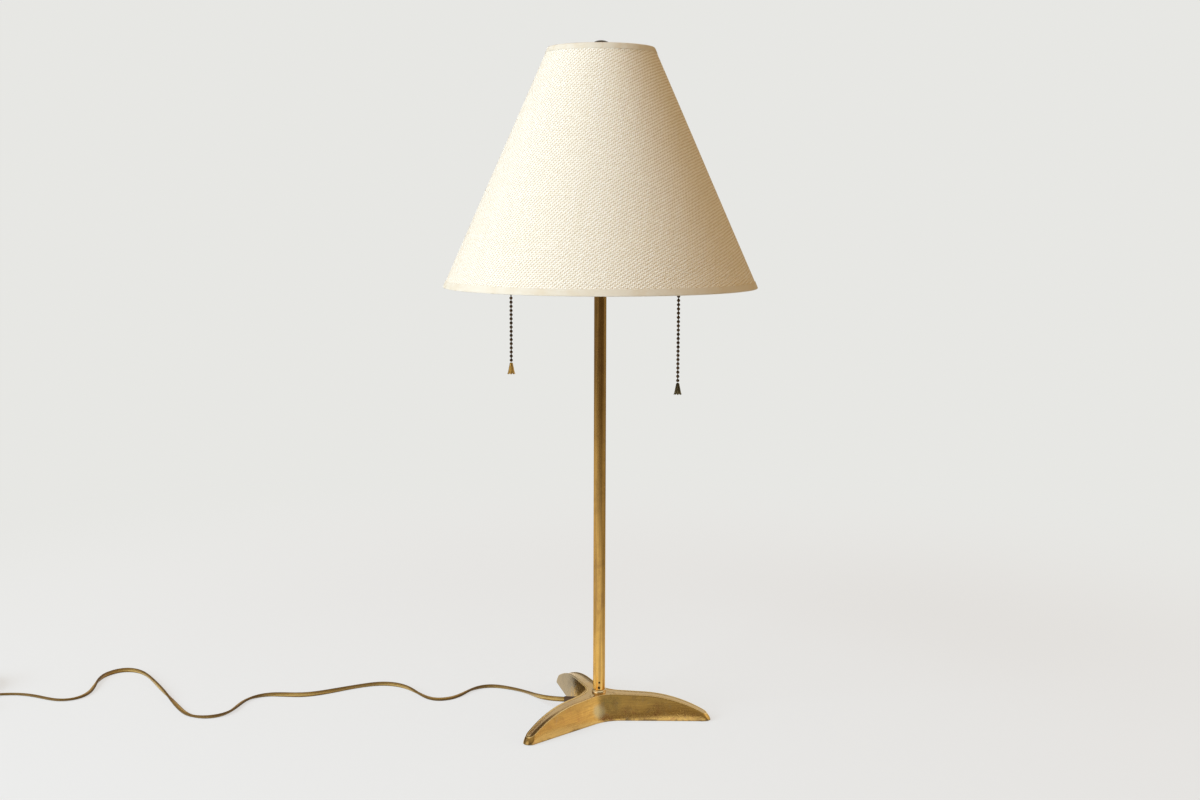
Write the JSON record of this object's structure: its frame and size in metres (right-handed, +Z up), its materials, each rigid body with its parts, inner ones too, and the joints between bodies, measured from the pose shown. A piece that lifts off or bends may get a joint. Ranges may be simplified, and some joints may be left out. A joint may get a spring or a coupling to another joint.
{
  "type": "tripod table lamp",
  "caption": "Table lamp with a cast three-legged brass foot, slim tube stem, two pull-chain sockets and a woven cone shade.",
  "frame": {"origin": "on the floor under the stem's axis, at the centre of the foot", "axes": "+Z up along the stem, +X to the viewer's right, +Y away from the viewer"},
  "size_m": [0.862, 0.306, 0.6676],
  "materials": {
    "foot_brass": "aged cast brass",
    "pad_felt": "dark felt",
    "stem_brass": "aged drawn brass",
    "seat_brass": "dull brass",
    "plated_steel": "zinc plated",
    "brown_rubber": "matte",
    "wire_insulation": "satin",
    "connector_plastic": "moulded",
    "cluster_brass": "satin brass",
    "socket_brass": "spun brass",
    "sleeve_card": "pressed fibre",
    "switch_phenolic": "moulded phenolic",
    "screw_aluminium": "rolled thread",
    "bulb_frost": "frosted",
    "bronze_dark": "dark bronze",
    "bell_gold": "pressed brass",
    "bell_olive": "dark pressed brass",
    "shade_linen": "coarse plain weave",
    "shade_liner": "matte styrene",
    "rim_tape": "bias tape",
    "cord_brown": "translucent brown vinyl",
    "tie_paper": "twist tie",
    "plug_brown": "moulded",
    "blade_brass": "plain"
  },
  "bodies": {
    "lamp": {"tripod_foot": "foot_brass", "foot_pads": "pad_felt", "stem_tube": "stem_brass", "stem_seat": "seat_brass", "lamp_pipe": "plated_steel", "base_washer": "plated_steel", "base_nut": "plated_steel", "cord_bushing": "brown_rubber", "lead_wires": "wire_insulation", "socket_wires": "wire_insulation", "wire_connectors": "connector_plastic", "cluster_cup": "cluster_brass", "cluster_cover": "cluster_brass", "arm_left": "cluster_brass", "arm_right": "cluster_brass", "riser_rod": "cluster_brass", "riser_nuts": "cluster_brass", "shade_rest": "cluster_brass", "cap_left": "socket_brass", "shell_left": "socket_brass", "chain_guide_left": "socket_brass", "contact_left": "socket_brass", "sleeve_left": "sleeve_card", "switch_left": "switch_phenolic", "screw_shell_left": "screw_aluminium", "cap_right": "socket_brass", "shell_right": "socket_brass", "chain_guide_right": "socket_brass", "contact_right": "socket_brass", "sleeve_right": "sleeve_card", "switch_right": "switch_phenolic", "screw_shell_right": "screw_aluminium", "cord_run": "cord_brown", "cord_coil": "cord_brown", "cord_tail": "cord_brown", "coil_tie": "tie_paper", "plug_body": "plug_brown", "plug_blades": "blade_brass"},
    "shade": {"spider": "cluster_brass", "bottom_ring": "cluster_brass", "shade_liner": "shade_liner", "shade_cover": "shade_linen", "top_tape": "rim_tape", "bottom_tape": "rim_tape"},
    "finial": {"finial": "bronze_dark"},
    "bulb_left": {"bulb_base_left": "screw_aluminium", "bulb_glass_left": "bulb_frost"},
    "slider_left": {"chain_slider_left": "bronze_dark"},
    "link_left": {"chain_joint_left": "bronze_dark"},
    "chain_left": {"pull_chain_left": "bronze_dark", "chain_bell_left": "bell_gold"},
    "bulb_right": {"bulb_base_right": "screw_aluminium", "bulb_glass_right": "bulb_frost"},
    "slider_right": {"chain_slider_right": "bronze_dark"},
    "link_right": {"chain_joint_right": "bronze_dark"},
    "chain_right": {"pull_chain_right": "bronze_dark", "chain_bell_right": "bell_olive"}
  },
  "joints": [
    {"name": "shade_turn", "type": "hinge", "parent": "lamp", "child": "shade", "pos_m": [0, 0, 0.65], "axis": [0, 0, 1], "continuous": true},
    {"name": "finial_turn", "type": "hinge", "parent": "lamp", "child": "finial", "pos_m": [0, 0, 0.66], "axis": [0, 0, 1], "continuous": true},
    {"name": "bulb_left_turn", "type": "hinge", "parent": "lamp", "child": "bulb_left", "pos_m": [-0.05, 0, 0.5], "axis": [0, 0, 1], "range_deg": [0, 900]},
    {"name": "bulb_right_turn", "type": "hinge", "parent": "lamp", "child": "bulb_right", "pos_m": [0.05, 0, 0.5], "axis": [0, 0, 1], "range_deg": [0, 900]},
    {"name": "chain_left_pull", "type": "slide", "parent": "lamp", "child": "slider_left", "axis": [0, 0, -1], "range_m": [0, 0.008], "stiffness_N_per_m": 400},
    {"name": "chain_left_swing_x", "type": "hinge", "parent": "slider_left", "child": "link_left", "pos_m": [-0.0872, 0, 0.462], "axis": [0, 1, 0], "range_deg": [-30, 30]},
    {"name": "chain_left_swing_y", "type": "hinge", "parent": "link_left", "child": "chain_left", "pos_m": [-0.0872, 0, 0.462], "axis": [1, 0, 0], "range_deg": [-30, 30]},
    {"name": "chain_right_pull", "type": "slide", "parent": "lamp", "child": "slider_right", "axis": [0, 0, -1], "range_m": [0, 0.008], "stiffness_N_per_m": 400},
    {"name": "chain_right_swing_x", "type": "hinge", "parent": "slider_right", "child": "link_right", "pos_m": [0.07489, -0.02764, 0.462], "axis": [0, 1, 0], "range_deg": [-30, 30]},
    {"name": "chain_right_swing_y", "type": "hinge", "parent": "link_right", "child": "chain_right", "pos_m": [0.07489, -0.02764, 0.462], "axis": [1, 0, 0], "range_deg": [-30, 30]}
  ]
}
